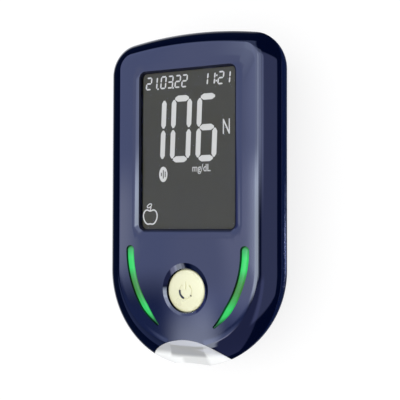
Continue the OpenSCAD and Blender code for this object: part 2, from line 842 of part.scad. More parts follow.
module terminal_contacts() {
    color([0.8, 0.8, 0.8]) for (x = [-cell_x, cell_x]) {
        block(x, cavity_low + plate_t / 2, cell_z - plate_h / 2, 2 * cell_r - 2, plate_t, plate_h);
        block(x, cavity_low + plate_t / 2, cell_z, 2, plate_t, board_top - cell_z);
    }
}

// ---- screws -------------------------------------------------------------------------------

module case_screws() {
    recess = 0.7;
    color([0.7, 0.7, 0.72]) for (p = screw_points) translate([p[0], p[1], 0]) difference() {
        union() {
            translate([0, 0, screw_seat_z - screw_head_h])
                cylinder(r = screw_head_r, h = screw_head_h);
            translate([0, 0, screw_seat_z]) cylinder(r = screw_r, h = screw_tip_z - screw_seat_z);
        }
        for (a = [0, 90]) rotate([0, 0, a])
            block(0, 0, screw_seat_z - screw_head_h - cut, 0.5, 2.2, recess + cut);
    }
}

front_cover();
rear_cover();
battery_door();
display_window();
window_tape();
lcd_glass();
lcd_frame();
backlight_guide();
lcd_connector();
main_board();
microcontroller();
analog_chip();
radio_module();
crystal();
board_parts();
buzzer();
tact_switch();
tact_plunger();
button_cap();
left_light_bar();
right_light_bar();
bar_leds();
port_led();
port_lens();
strip_connector();
strip_contacts();
battery_tray();
battery_left();
battery_right();
battery_springs();
bridge_contact();
terminal_contacts();
case_screws();
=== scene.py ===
from bisect import bisect
from math import atan2, cos, degrees, exp, hypot, pi, radians, sin, sqrt

import bmesh
import bpy
from mathutils import Matrix, Vector


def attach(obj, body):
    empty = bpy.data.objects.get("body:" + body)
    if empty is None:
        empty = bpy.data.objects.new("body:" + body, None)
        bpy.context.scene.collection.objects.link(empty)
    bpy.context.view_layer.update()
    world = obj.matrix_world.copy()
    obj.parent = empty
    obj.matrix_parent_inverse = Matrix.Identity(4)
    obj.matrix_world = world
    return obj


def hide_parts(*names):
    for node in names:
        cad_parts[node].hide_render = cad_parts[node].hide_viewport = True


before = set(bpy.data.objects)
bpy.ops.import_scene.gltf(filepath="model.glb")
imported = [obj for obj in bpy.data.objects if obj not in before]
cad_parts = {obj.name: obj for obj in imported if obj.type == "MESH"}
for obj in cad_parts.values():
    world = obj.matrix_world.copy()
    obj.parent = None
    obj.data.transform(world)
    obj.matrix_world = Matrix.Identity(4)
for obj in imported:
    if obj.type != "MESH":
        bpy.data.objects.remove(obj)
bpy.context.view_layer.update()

# ---- Front cover ---------------------------------------------------------------------------
# The glossy navy face: a crowned plateau inside a rolled bevel, moulded in one piece with the
# window's sloped border, the button's dish, the slots of the light bars and four screw bosses.
# Shapes are drawn in millimetres, and finished() turns them into metres.

case_w, case_len, case_t = 56, 94.5, 20
seam_z = 15.6
top_end_r = 126
corner_r, face_corner_r = 9, 4.6
chin_flat = 1.2
bevel_side, bevel_top, bevel_chin = 5.35, 3.5, 5.85
crown, front_power = 0.43, 1.31
rim_wall, face_wall = 0.9, 1.5
top_y, chin_y = case_len / 2, -case_len / 2
face_edge_z = case_t - crown
ceiling_z = face_edge_z - face_wall
seam_edge = 0.06


def arc(x, y, r, start, end, steps):
    """Points of an arc with their outward directions; the angles are in degrees."""
    turns = [radians(start + (end - start) * i / steps) for i in range(steps + 1)]
    return [(x + r * cos(a), y + r * sin(a), cos(a), sin(a)) for a in turns]


def ring(share, corner, z, wall=0.0):
    """Outline of the case at height z: share is that of the full bevel, wall goes inwards."""
    side_steps, end_steps, chin_steps = 12, 18, 44
    w = case_w / 2 - bevel_side * share
    top = top_y - bevel_top * share
    chin = chin_y + bevel_chin * share
    rise = sqrt((top_end_r - corner) ** 2 - (w - corner) ** 2)
    turn = degrees(atan2(rise, w - corner))
    chin_r = w - chin_flat
    shoulder = top - top_end_r + rise
    side = [(w, shoulder + (chin + chin_r - shoulder) * i / side_steps, 1, 0)
            for i in range(1, side_steps)]
    half = (arc(0, top - top_end_r, top_end_r, 90, turn, end_steps)
            + arc(w - corner, shoulder, corner, turn, 0, end_steps)[1:]
            + side + arc(chin_flat, chin + chin_r, chin_r, 0, -90, chin_steps))
    right = [(x - nx * wall, y - ny * wall, z) for x, y, nx, ny in half]
    return right + [(-x, y, z) for x, y, z in reversed(right[1:])]


def front_ring(t, wall=0.0, drop=0.0):
    """Ring of the front bevel, t from 0 at the face to 1 at the seam."""
    share = 1 - sin(t * pi / 2) ** (2 / front_power)
    return ring(share, corner_r + (face_corner_r - corner_r) * share,
                seam_z + (face_edge_z - seam_z) * cos(t * pi / 2) ** (2 / front_power) - drop,
                wall)


def loft(rings):
    """Closed solid through rings of points, its two ends filled."""
    bm = bmesh.new()
    loops = []
    for points in rings:
        verts = [bm.verts.new(p) for p in points]
        loops.append([bm.edges.new(pair) for pair in zip(verts, verts[1:] + verts[:1])])
    for one, following in zip(loops, loops[1:]):
        bmesh.ops.bridge_loops(bm, edges=one + following)
    for end in (loops[0], loops[-1]):
        bmesh.ops.edgeloop_fill(bm, edges=end)
    bmesh.ops.recalc_face_normals(bm, faces=bm.faces)
    return bm


def block(x, y, z, w, l, h):
    """Box given by its middle across and along, and its lower face."""
    bm = bmesh.new()
    place = Matrix.Translation((x, y, z + h / 2)) @ Matrix.Diagonal((w, l, h, 1))
    bmesh.ops.create_cube(bm, size=1, matrix=place)
    return bm


def cylinder(x, y, z, r, h, segments=64):
    """Upright cylinder given by its axis and its lower face."""
    bm = bmesh.new()
    bmesh.ops.create_cone(bm, cap_ends=True, segments=segments, radius1=r, radius2=r, depth=h,
                          matrix=Matrix.Translation((x, y, z + h / 2)))
    return bm


def combine(bm, tool, operation="DIFFERENCE"):
    """Cuts the tool out of a mesh, joins it on, or keeps what both share."""
    blanks = []
    for source in (bm, tool):
        mesh = bpy.data.meshes.new("blank")
        source.to_mesh(mesh)
        source.free()
        blanks.append(bpy.data.objects.new("blank", mesh))
        bpy.context.scene.collection.objects.link(blanks[-1])
    modifier = blanks[0].modifiers.new("combine", "BOOLEAN")
    modifier.operation = operation
    modifier.object = blanks[1]
    modifier.solver = "EXACT"
    result = bmesh.new()
    result.from_object(blanks[0], bpy.context.evaluated_depsgraph_get())
    bmesh.ops.dissolve_degenerate(result, dist=1e-3, edges=result.edges)
    for blank in blanks:
        bpy.data.meshes.remove(blank.data)
    return result


def joined(*parts):
    """Separate solids gathered into one mesh."""
    bm = bmesh.new()
    for part in parts:
        mesh = bpy.data.meshes.new("blank")
        part.to_mesh(mesh)
        part.free()
        bm.from_mesh(mesh)
        bpy.data.meshes.remove(mesh)
    return bm


def finished(name, bm, material, crisp=32):
    """Makes the object of a mesh in metres; edges sharper than the angle stay crisp."""
    bm.transform(Matrix.Scale(0.001, 4))
    mesh = bpy.data.meshes.new(name)
    bm.to_mesh(mesh)
    bm.free()
    mesh.shade_smooth()
    mesh.set_sharp_from_angle(angle=radians(crisp))
    mesh.materials.append(material)
    piece = bpy.data.objects.new(name, mesh)
    bpy.context.scene.collection.objects.link(piece)
    return piece


def fit(piece, body, slot, *nodes):
    """The piece rides on a body and stands for its solids; slot is not used."""
    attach(piece, body)
    if nodes:
        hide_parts(*nodes)


window_w, window_len, window_y, window_corner = 32, 46, 13.8, 2
border_w, border_drop, border_top_drop, border_curve = 2.0, 0.31, 0.12, 1.6
border_easing_y = 24
ledge_w, ledge_z, seat_low_z = 0.5, 18.25, 17.55
frame_half_w, frame_low_y, frame_top_y = 17.35, -12.75, 38.85
opening_low_z = 17
button_y, button_r = -26, 6
dish_r, dish_sphere_r, button_gap = 7.5, 28, 0.3
bar_path_r, bar_end_x, bar_end_y, bar_tip_angle, bar_w = 28, 18.8, -14.7, -49.5, 2.1
bar_narrowing, bar_tip_share, bar_tip_power = 0.2, 0.28, 0.8
slot_gap, slot_edge, slot_edge_low_z, slot_edge_top_z = 0.25, 0.08, 19.45, 19.75
lens_r, lens_y, lens_z, lens_gap = 18.7, -58.5, 9.0, 0.05
board_z, board_top = 13.85, 14.85
boss_r, boss_root, bore_r, bore_depth = 2.2, 0.5, 1, 2.5
screw_places = [(-20.3, 31), (20.3, 31), (-11.5, -17.85), (11.5, -17.85)]

face_outline = sorted((atan2(y, x), hypot(x, y)) for x, y, z in ring(1, face_corner_r, 0))
face_angles = [angle for angle, reach in face_outline]


def face_z(x, y):
    """Height of the crowned face above a point."""
    angle = atan2(y, x)
    i = bisect(face_angles, angle) % len(face_outline)
    (before, near), (after, far) = face_outline[i - 1], face_outline[i]
    span = (after - before) % (2 * pi)
    reach = near + (far - near) * ((angle - before) % (2 * pi)) / span
    return case_t - crown * (hypot(x, y) / reach) ** 2


def face_ring(share):
    return [(x * share, y * share, case_t - crown * share ** 2)
            for x, y, z in ring(1, face_corner_r, 0)]


def window_ring(grow, height):
    """Window outline grown by grow; height is a number or a function of the place."""
    w, l, r = window_w / 2 + grow, window_len / 2 + grow, window_corner + grow
    points = [p[:2] for cx, cy, start in ((w - r, l - r, 0), (r - w, l - r, 90),
                                          (r - w, r - l, 180), (w - r, r - l, 270))
              for p in arc(cx, window_y + cy, r, start, start + 90, 8)]
    return [(x, y, height(x, y) if callable(height) else height) for x, y in points]


def bar_ring(grow, z, mirrored=False):
    """Outline of a light bar: it follows an arc and narrows to a point at its tip."""
    steps, tip_half = 36, 0.04
    path_x = bar_end_x - bar_path_r
    sides = {}
    for side in (1, -1):
        sides[side] = []
        for i in range(steps + 1):
            s = i / steps
            half = (bar_w / 2 * (1 - bar_narrowing * s)
                    * min(1, (1 - s) / bar_tip_share) ** bar_tip_power)
            r = bar_path_r + side * max(half + grow, tip_half)
            a = radians(bar_tip_angle * s)
            sides[side].append((path_x + r * cos(a), bar_end_y + r * sin(a)))
    end = [p[:2] for p in arc(bar_end_x, bar_end_y, bar_w / 2 + grow, 180, 0, 12)[1:-1]]
    points = sides[1] + sides[-1][::-1] + end
    return [(-x if mirrored else x, y, z) for x, y in points]


bevel_steps = 40
plateau = [face_ring(0.04 + 0.96 * i / 24) for i in range(24)]
shell = combine(loft([ring(0, corner_r, seam_z, seam_edge),
                      ring(0, corner_r, seam_z + seam_edge)]
                     + [front_ring(i / bevel_steps) for i in range(bevel_steps - 2, -1, -1)]
                     + plateau[::-1]),
                loft([front_ring(i / 10, rim_wall, face_wall) for i in range(11)]))
seat = block(0, (frame_top_y + frame_low_y) / 2, seat_low_z, 2 * frame_half_w,
             frame_top_y - frame_low_y, ledge_z + 0.1 - seat_low_z)
bosses = [cylinder(x, y, board_top, boss_r, ceiling_z - board_top + boss_root)
          for x, y in screw_places]
shell = combine(shell, joined(seat, *bosses), "UNION")


def border_depth(y):
    """Depth of the border below the face: it lessens where the face falls off to the top."""
    share = max(0, y - border_easing_y) / (window_y + window_len / 2 - border_easing_y)
    return border_drop + (border_top_drop - border_drop) * min(1, share) ** 1.5


border = loft([window_ring(border_w + 0.5, lambda x, y: face_z(x, y) + 2),
               window_ring(border_w + 0.1, lambda x, y: face_z(x, y) + 0.02)]
              + [window_ring(border_w * (1 - s),
                             lambda x, y: face_z(x, y) - border_depth(y) * s ** border_curve)
                 for s in (0.1, 0.2, 0.35, 0.5, 0.65, 0.8, 1)]
              + [window_ring(0, ledge_z)])
dish_z = face_z(0, button_y) + sqrt(dish_sphere_r ** 2 - dish_r ** 2)
dish = bmesh.new()
bmesh.ops.create_uvsphere(dish, u_segments=128, v_segments=96, radius=dish_sphere_r,
                          matrix=Matrix.Translation((0, button_y, dish_z)))
slots = joined(*[loft([bar_ring(grow, z, side) for grow, z in (
    (slot_gap, board_top), (slot_gap, slot_edge_low_z),
    (slot_gap + slot_edge, slot_edge_top_z), (slot_gap + slot_edge, case_t + 1))])
    for side in (False, True)])
for opening in (border, loft([window_ring(-ledge_w, z) for z in (opening_low_z, case_t)]), dish,
                cylinder(0, button_y, 10, button_r + button_gap, case_t, 128), slots,
                cylinder(0, lens_y, lens_z - lens_gap, lens_r + lens_gap, case_t, 160),
                joined(*[cylinder(x, y, board_top - 1, bore_r, bore_depth + 1)
                         for x, y in screw_places])):
    shell = combine(shell, opening)


def feed(tree, entries, values):
    """Sets inputs of nodes, and links each whose value is a socket."""
    for entry, value in zip(entries, values):
        if isinstance(value, bpy.types.NodeSocket):
            tree.links.new(value, entry)
        else:
            entry.default_value = value


def add_node(tree, kind, **values):
    """A shader node with values or sockets for its named inputs."""
    node = tree.nodes.new(kind)
    feed(tree, [node.inputs[label.replace("_", " ")] for label in values], values.values())
    return node


def maths(tree, operation, *values, kind="ShaderNodeMath"):
    """A maths node on sockets and numbers."""
    node = tree.nodes.new(kind)
    node.operation = operation
    feed(tree, node.inputs, values)
    return node.outputs[0]


def mixed(tree, share, one, other):
    """Two shaders, mixed by the share of the second."""
    node = tree.nodes.new("ShaderNodeMixShader")
    feed(tree, node.inputs, (share, one, other))
    return node.outputs[0]


def new_group(name, inputs, outputs):
    """An empty shader node group with its named sockets."""
    group = bpy.data.node_groups.new(name, "ShaderNodeTree")
    for label, kind, value in inputs:
        socket = group.interface.new_socket(label, in_out="INPUT", socket_type=kind)
        socket.default_value = value
    for label, kind in outputs:
        group.interface.new_socket(label, in_out="OUTPUT", socket_type=kind)
    return group, group.nodes.new("NodeGroupInput").outputs, group.nodes.new(
        "NodeGroupOutput").inputs


# The surface of a moulding or pressing: slow shifts of shade, handling marks that change the
# gloss, and the fine waviness that the tool's polish leaves.
surface_group, given, made = new_group(
    "worked_surface",
    [("Colour", "NodeSocketColor", (0.5, 0.5, 0.5, 1)), ("Shift", "NodeSocketFloat", 0.05),
     ("Gloss", "NodeSocketFloat", 0.3), ("Marks", "NodeSocketFloat", 0.05),
     ("Cloud Scale", "NodeSocketFloat", 90.0), ("Grain Scale", "NodeSocketFloat", 2500.0)],
    [("Colour", "NodeSocketColor"), ("Roughness", "NodeSocketFloat"),
     ("Height", "NodeSocketFloat")])
place = add_node(surface_group, "ShaderNodeTexCoord").outputs["Object"]
clouds = add_node(surface_group, "ShaderNodeTexNoise", Vector=place,
                  Scale=given["Cloud Scale"], Detail=4.0)
grain = add_node(surface_group, "ShaderNodeTexNoise", Vector=place,
                 Scale=given["Grain Scale"], Detail=2.0)
swing = add_node(surface_group, "ShaderNodeMapRange", Value=clouds.outputs["Fac"],
                 From_Min=0.3, From_Max=0.7, To_Min=-1.0, To_Max=1.0).outputs["Result"]
shade = maths(surface_group, "MULTIPLY_ADD", swing, given["Shift"], 1.0)
tinted = add_node(surface_group, "ShaderNodeHueSaturation", Value=shade, Color=given["Colour"])
marks = maths(surface_group, "MULTIPLY_ADD", swing, given["Marks"], given["Gloss"])
surface_group.links.new(tinted.outputs["Color"], made["Colour"])
surface_group.links.new(marks, made["Roughness"])
surface_group.links.new(grain.outputs["Fac"], made["Height"])


def worked(name, colour, shift=0.06, gloss=0.3, marks=0.05, clouds=90.0, grain=2500.0,
           relief=0.02, metal=0.0, ior=1.5, mirror=0.5, clarity=0.0, glow=0.0):
    """Material with the worked surface: its colour, gloss and relief vary over the piece."""
    material = bpy.data.materials.new(name)
    material.use_nodes = True
    tree = material.node_tree
    shader = tree.nodes["Principled BSDF"]
    surface = tree.nodes.new("ShaderNodeGroup")
    surface.node_tree = surface_group
    feed(tree, surface.inputs, ((*colour, 1), shift, gloss, marks, clouds, grain))
    tree.links.new(surface.outputs["Colour"], shader.inputs["Base Color"])
    tree.links.new(surface.outputs["Roughness"], shader.inputs["Roughness"])
    bump = add_node(tree, "ShaderNodeBump", Height=surface.outputs["Height"],
                    Strength=relief, Distance=0.0002)
    tree.links.new(bump.outputs["Normal"], shader.inputs["Normal"])
    feed(tree, [shader.inputs[label] for label in (
        "Metallic", "IOR", "Specular IOR Level", "Transmission Weight", "Emission Strength")],
         (metal, ior, mirror, clarity, glow))
    return material


def dress(material, *nodes):
    """Gives its material to each solid that shows as it is."""
    for node in nodes:
        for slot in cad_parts[node].material_slots:
            slot.material = material


gloss_navy = worked("gloss_navy", (0.0003, 0.0016, 0.013), gloss=0.05, marks=0.01,
                    relief=0.004)
fit(finished("front_shell", shell, gloss_navy, 14), "case", "case_gloss", "front_cover")

# ---- Window --------------------------------------------------------------------------------
# A clear pane with eased edges, held to the ledge by a ring of black adhesive tape. A
# printed black line follows its edge, in the foot of the sloped border.

pane_z, pane_t = 18.35, 0.9
pane_top = pane_z + pane_t
line_out, line_in, line_half_t = -0.06, -0.48, 0.02
pane = loft([window_ring(grow, z) for grow, z in (
    (-0.15, pane_z), (-0.05, pane_z + 0.1), (-0.05, pane_top - 0.12), (-0.09, pane_top - 0.03),
    (-0.17, pane_top))])


def glassy(name, colour, gloss, ior, relief=0.003, clarity=1.0):
    """Clear or milky material with faint shifts in its polish."""
    return worked(name, colour, shift=0.01, gloss=gloss, marks=gloss / 4, grain=900.0,
                  relief=relief, ior=ior, clarity=clarity)


clear_pane = glassy("clear_pane", (0.97, 0.98, 0.98), 0.02, 1.02, relief=0.0002)
fit(finished("window_pane", pane, clear_pane), "case", "window", "display_window")

printed_edge = combine(
    loft([window_ring(line_out, z) for z in (pane_top - line_half_t, pane_top + line_half_t)]),
    loft([window_ring(line_in, z) for z in (pane_z, case_t)]))
printed_black = worked("printed_black", (0.004, 0.004, 0.008), gloss=0.5, relief=0.1,
                       mirror=0.1)
fit(finished("window_edge", printed_edge, printed_black), "case", "black_plastic")
dress(worked("black_tape", (0.006, 0.006, 0.012), gloss=0.6, relief=0.1), "window_tape")

# ---- Light bars ----------------------------------------------------------------------------
# Two milky green guides that follow the chin and narrow to a point. Lamps on the board light
# them from below, so each is brightest over a lamp. A hidden flange holds them in the face.

bar_base_z, bar_face_z = 15.95, 19.47
bar_flange_w, bar_flange_top = 0.3, 17.92
lit_low_y, lit_top_y = -36.5, -13.5
lit_green = worked("lit_green", (0.01, 0.12, 0.03), shift=0.05, gloss=0.22, relief=0.01,
                   mirror=0.2, glow=0.9)
tree = lit_green.node_tree
place = add_node(tree, "ShaderNodeTexCoord").outputs["Object"]
along = add_node(tree, "ShaderNodeSeparateXYZ", Vector=place).outputs["Y"]
share = add_node(tree, "ShaderNodeMapRange", Value=along, From_Min=lit_low_y / 1000,
                 From_Max=lit_top_y / 1000)
ramp = add_node(tree, "ShaderNodeValToRGB", Fac=share.outputs["Result"])
stops = [(0.0, (0.017, 0.01, 0.017)), (0.08, (0.022, 0.12, 0.042)), (0.17, (0.032, 0.56, 0.102)),
         (0.25, (0.032, 0.58, 0.112)), (0.36, (0.042, 0.3, 0.052)), (0.45, (0.047, 0.17, 0.022)),
         (0.55, (0.052, 0.19, 0.027)), (0.64, (0.042, 0.32, 0.062)), (0.72, (0.032, 0.62, 0.112)),
         (0.86, (0.032, 0.62, 0.112)), (0.95, (0.042, 0.36, 0.092)), (1.0, (0.042, 0.14, 0.052))]
elements = ramp.color_ramp.elements
elements.remove(elements[1])
for at, colour in stops[1:]:
    elements.new(at).color = (*colour, 1)
elements[0].color = (*stops[0][1], 1)
tree.links.new(ramp.outputs["Color"], tree.nodes["Principled BSDF"].inputs["Emission Color"])

for name, mirrored in (("right_light_bar", False), ("left_light_bar", True)):
    flange = loft([bar_ring(bar_flange_w, z, mirrored) for z in (bar_base_z, bar_flange_top)])
    bar = loft([bar_ring(grow, z, mirrored) for grow, z in (
        (0, bar_base_z + 0.1), (0, bar_face_z - 0.4), (-0.06, bar_face_z - 0.18),
        (-0.22, bar_face_z - 0.05), (-0.45, bar_face_z))])
    piece = finished(name + "_guide", combine(bar, flange, "UNION"), lit_green)
    fit(piece, "case", "light_bar", name)

# ---- Port lens -----------------------------------------------------------------------------
# A translucent moulding that closes the chin round the strip slot. It continues the case's
# curves, its lower edge is hollowed to lead a strip in, and a lamp lights it from inside.

back_corner_r, back_share, back_power = 7, 1.85, 1.6
back_wall, lens_wall = 1.4, 2.2
scoop_drop, scoop_r = 0.8, 40
strip_z, strip_w, strip_h = 12.15, 7.4, 1.1


def back_ring(t, wall=0.0, lift=0.0):
    """Ring of the back, t from 0 at the seam to 1 at the flat back."""
    drawn_in = 1 - cos(t * pi / 2) ** (2 / back_power)
    return ring(back_share * drawn_in, corner_r + (back_corner_r - corner_r) * drawn_in,
                seam_z * (1 - sin(t * pi / 2) ** (2 / back_power)) + lift, wall)


whole = loft([back_ring(i / 30) for i in range(30, -1, -1)]
             + [front_ring(i / bevel_steps) for i in range(bevel_steps - 1, -1, -1)]
             + [face_ring(0.5)])
hollow = loft([back_ring(i / 12, lens_wall, back_wall) for i in range(12, 1, -1)]
              + [front_ring(i / 12, lens_wall, face_wall) for i in range(7, -1, -1)])
lens = combine(combine(whole, hollow), cylinder(0, lens_y, lens_z, lens_r, case_t, 200),
               "INTERSECT")
scoop = cylinder(0, chin_y + scoop_drop - scoop_r, 0, scoop_r, case_t, 240)
slot = block(0, chin_y, strip_z - strip_h / 2, strip_w, 4 * lens_wall, strip_h)
lens = combine(combine(lens, scoop), slot)
milky_lens = glassy("milky_lens", (0.93, 0.94, 0.94), 0.12, 1.45, clarity=0.2)
tree = milky_lens.node_tree
place = add_node(tree, "ShaderNodeTexCoord").outputs["Object"]
spots = add_node(tree, "ShaderNodeSeparateXYZ", Vector=place).outputs


def within(axis, middle, half, soft):
    """Soft mask of a stretch of the piece along one of its axes."""
    far = maths(tree, "ABSOLUTE", maths(tree, "SUBTRACT", spots[axis], middle / 1000))
    step = add_node(tree, "ShaderNodeMapRange", Value=far, From_Min=(half + soft) / 1000,
                    From_Max=(half - soft) / 1000)
    step.interpolation_type = "SMOOTHSTEP"
    return step.outputs["Result"]


# Painted shade: a grey patch where the strip's grey guide would show through the milky wall, a
# darker notch at its end, a darker band on the flat edge, and darkening where the surface turns
# away from view. It dims both the colour and the glow.
painted_guide_shade = maths(tree, "MULTIPLY", within("X", 0.3, 5.9, 0.8),
                   maths(tree, "MULTIPLY", within("Y", -42.6, 1.9, 0.9), 0.62))
painted_notch_shade = maths(tree, "MULTIPLY", within("X", 2.1, 4.1, 0.9), 0.25)
painted_edge_shade = maths(tree, "MULTIPLY", within("Y", -39.4, 4.3, 1.1), 0.53)
painted_grazing_shade = maths(tree, "MULTIPLY", maths(tree, "POWER", add_node(
    tree, "ShaderNodeLayerWeight", Blend=0.5).outputs["Facing"], 4.0), 0.5)
dim = maths(tree, "MAXIMUM", maths(tree, "MAXIMUM", painted_guide_shade, painted_notch_shade),
            maths(tree, "MAXIMUM", painted_edge_shade, painted_grazing_shade))
surface = next(node for node in tree.nodes if node.type == "GROUP")
shaded = add_node(tree, "ShaderNodeHueSaturation", Value=maths(tree, "SUBTRACT", 1.0, dim),
                  Color=surface.outputs["Colour"])
shader = tree.nodes["Principled BSDF"]
for label in ("Base Color", "Emission Color"):
    tree.links.new(shaded.outputs["Color"], shader.inputs[label])
shader.inputs["Emission Strength"].default_value = 0.25
fit(finished("port_lens_shell", lens, milky_lens), "case", "lens", "port_lens")

# ---- Power button --------------------------------------------------------------------------
# A metallised cap in pale gold with a rounded edge, pressed through the dish. Its power sign is
# engraved. A black wire lies in the lower left of the sign's ring, and a black dot lies in its
# lower right.

button_base, button_top, button_edge, button_dome = 17.22, 19.12, 0.3, 0.27
flange_r, flange_t, stem_r, stem_z = 6.9, 0.6, 1.7, 16.92
sign_r, sign_y, sign_line_r = 2.0, button_y - 0.2, 0.22
sign_z = button_top + 0.24
groove_z, sign_dark_z, sign_dark_line_r, dot_line_r = sign_z + 0.08, sign_z - 0.12, 0.34, 0.3


def turned(profile, place, segments=96):
    """Solid of revolution about the upright line through a place; the profile is (r, z)."""
    bm = bmesh.new()
    verts = [bm.verts.new((r, 0, z)) for r, z in profile]
    edges = [bm.edges.new(pair) for pair in zip(verts, verts[1:])]
    bmesh.ops.spin(bm, geom=verts + edges, cent=(0, 0, 0), axis=(0, 0, 1), angle=2 * pi,
                   steps=segments, use_merge=True)
    bmesh.ops.remove_doubles(bm, verts=bm.verts, dist=1e-5)
    bmesh.ops.recalc_face_normals(bm, faces=bm.faces)
    bm.transform(Matrix.Translation(place))
    return bm


def wire(points, r, closed=False):
    """Round wire along points."""
    curve = bpy.data.curves.new("wire", "CURVE")
    curve.dimensions = "3D"
    curve.bevel_depth = r
    curve.bevel_resolution = 3
    curve.use_fill_caps = True
    spline = curve.splines.new("POLY")
    spline.points.add(len(points) - 1)
    for point, place in zip(spline.points, points):
        point.co = (*place, 1)
    spline.use_cyclic_u = closed
    holder = bpy.data.objects.new("wire", curve)
    bpy.context.scene.collection.objects.link(holder)
    bm = bmesh.new()
    bm.from_mesh(holder.to_mesh())
    bpy.data.curves.remove(curve)
    bmesh.ops.remove_doubles(bm, verts=bm.verts, dist=1e-5)
    bmesh.ops.recalc_face_normals(bm, faces=bm.faces)
    return bm


def sign_arc(start, end, z):
    return [(x, y, z) for x, y, nx, ny in arc(0, sign_y, sign_r, start, end, 40)]


cap = turned([(0, stem_z), (stem_r, stem_z), (stem_r, button_base), (flange_r, button_base),
              (flange_r, button_base + flange_t), (button_r, button_base + flange_t),
              (button_r, button_top - button_edge),
              (button_r - 0.04, button_top - 0.16), (button_r - 0.14, button_top - 0.06),
              (button_r - button_edge, button_top)]
             + [(r, button_top + button_dome * (1 - (r / button_r) ** 2))
                for r in (5.2, 4.4, 3.5, 2.6, 1.7, 0.8, 0)], (0, button_y, 0))
for groove in (sign_arc(122, 418, groove_z), [(0, button_y + y, groove_z) for y in (0.4, 2.6)]):
    cap = combine(cap, wire(groove, sign_line_r))
pale_gold = worked("pale_gold", (0.83, 0.81, 0.50), shift=0.02, gloss=0.3, marks=0.04,
                   clouds=160.0, relief=0.01, metal=0.05)
fit(finished("button", cap, pale_gold), "power_button", "button_gold", "button_cap")

sign_black = worked("sign_black", (0.004, 0.004, 0.005), gloss=0.35)
sign_dark = joined(wire(sign_arc(170, 250, sign_dark_z), sign_dark_line_r),
               wire(sign_arc(322, 328, sign_dark_z), dot_line_r))
fit(finished("button_sign_dark", sign_dark, sign_black), "power_button", "black_plastic")

dress(worked("plunger_black", (0.01, 0.01, 0.011), gloss=0.45), "tact_plunger")

# ---- Display -------------------------------------------------------------------------------
# A reversed liquid-crystal display: two glasses with a charcoal film, and pale characters lit
# by the guide behind them. A black frame carries the stack, and a rubber strip connects it.

lower_glass_z, glass_t, film_z = 16.7, 0.75, 18.2
glass_half_w, glass_low_y, glass_top_y = 16.5, -11.9, 38.0
film_t, figure_t = 0.03, 0.03
big_rows, small_rows = (28.4, 19.8, 11.1), (35.0, 33.35, 31.7)
big_lean, small_lean, dot_half = 0.0385, 0.1, 0.22
badge_x, badge_y, badge_bar_half = -8.4, 6.95, 0.16
fruit_x, fruit_y, fruit_w, fruit_h = -12.8, -5.2, 2.35, 2.45
leaf_x, leaf_y = -13.1, -2.0


def plate(points, z, h):
    """Flat plate of an outline, its lower face at z."""
    return loft([[(x, y, z) for x, y in points], [(x, y, z + h) for x, y in points]])


def eased(bm, width, sharper=50):
    """The mesh with its sharp edges bevelled."""
    edges = [e for e in bm.edges if e.is_manifold and e.calc_face_angle() > radians(sharper)]
    bmesh.ops.bevel(bm, geom=edges, offset=width, offset_type="OFFSET", segments=2,
                    profile=0.5, affect="EDGES", material=-1, clamp_overlap=True)
    return bm


glass_grey = glassy("glass_grey", (0.25, 0.26, 0.27), 0.08, 1.5, clarity=0.3)
glasses = joined(
    eased(block(0, (glass_low_y + glass_top_y) / 2, lower_glass_z, 2 * glass_half_w,
                glass_top_y - glass_low_y, glass_t), 0.08),
    loft([window_ring(-ledge_w - 0.1, z) for z in (lower_glass_z + glass_t, film_z - film_t)]))
fit(finished("display_glasses", glasses, glass_grey), "case", "display", "lcd_glass")


def glowing(name, light, shift):
    """Nearly black material that is lit from behind, a little unevenly."""
    material = worked(name, light, shift=shift, gloss=0.5, clouds=60.0, relief=0.001,
                      mirror=0.1, glow=1.0)
    tree = material.node_tree
    shader = tree.nodes["Principled BSDF"]
    base = shader.inputs["Base Color"]
    tree.links.new(base.links[0].from_socket, shader.inputs["Emission Color"])
    tree.links.remove(base.links[0])
    base.default_value = (0.01, 0.01, 0.01, 1)
    return material


film_charcoal = glowing("film_charcoal", (0.054, 0.052, 0.0365), 0.03)
film = loft([window_ring(-ledge_w - 0.05, z) for z in (film_z - film_t, film_z)])
fit(finished("display_film", film, film_charcoal), "case", "display")


def leaning(points, lean, level):
    """The points leant to the right above a level and to the left below it."""
    return [(x + (y - level) * lean, y) for x, y in points]


def segment(one, other, width):
    """Outline of a display segment between two points, its ends narrowed to a tip."""
    (x1, y1), (x2, y2) = one, other
    span = hypot(x2 - x1, y2 - y1)
    ux, uy = (x2 - x1) / span, (y2 - y1) / span
    half, taper, tip = width / 2, width * 0.55, width * 0.3 / 2
    return [(x1 + ux * along - uy * across, y1 + uy * along + ux * across)
            for along, across in ((0, tip), (taper, half), (span - taper, half), (span, tip),
                                  (span, -tip), (span - taper, -half), (taper, -half),
                                  (0, -tip))]


lit_segments = {"0": "abcdef", "1": "bc", "2": "abged", "3": "abgcd", "6": "afgedc"}


def digit(figure, x, rows, pitch, upright, level, gap, lean):
    """Plates of a seven-segment digit: x is its left line, rows are top, middle and bottom."""
    top, middle, bottom = rows
    right = x + pitch
    ends = {"a": ((x, top), (right, top)), "g": ((x, middle), (right, middle)),
            "d": ((x, bottom), (right, bottom)), "f": ((x, middle), (x, top)),
            "b": ((right, middle), (right, top)), "e": ((x, bottom), (x, middle)),
            "c": ((right, bottom), (right, middle))}
    plates = []
    for name in lit_segments[figure]:
        (x1, y1), (x2, y2) = ends[name]
        flat = y1 == y2
        width = level if flat else upright
        dx, dy = (gap, 0) if flat else (0, gap)
        outline = segment((x1 + dx, y1 + dy), (x2 - dx, y2 - dy), width)
        plates.append(plate(leaning(outline, lean, middle), film_z, figure_t))
    return plates


def patch(x, y, w, h):
    """Outline of an upright rectangle, given by its middle and half its sides."""
    return [(x - w, y - h), (x + w, y - h), (x + w, y + h), (x - w, y + h)]


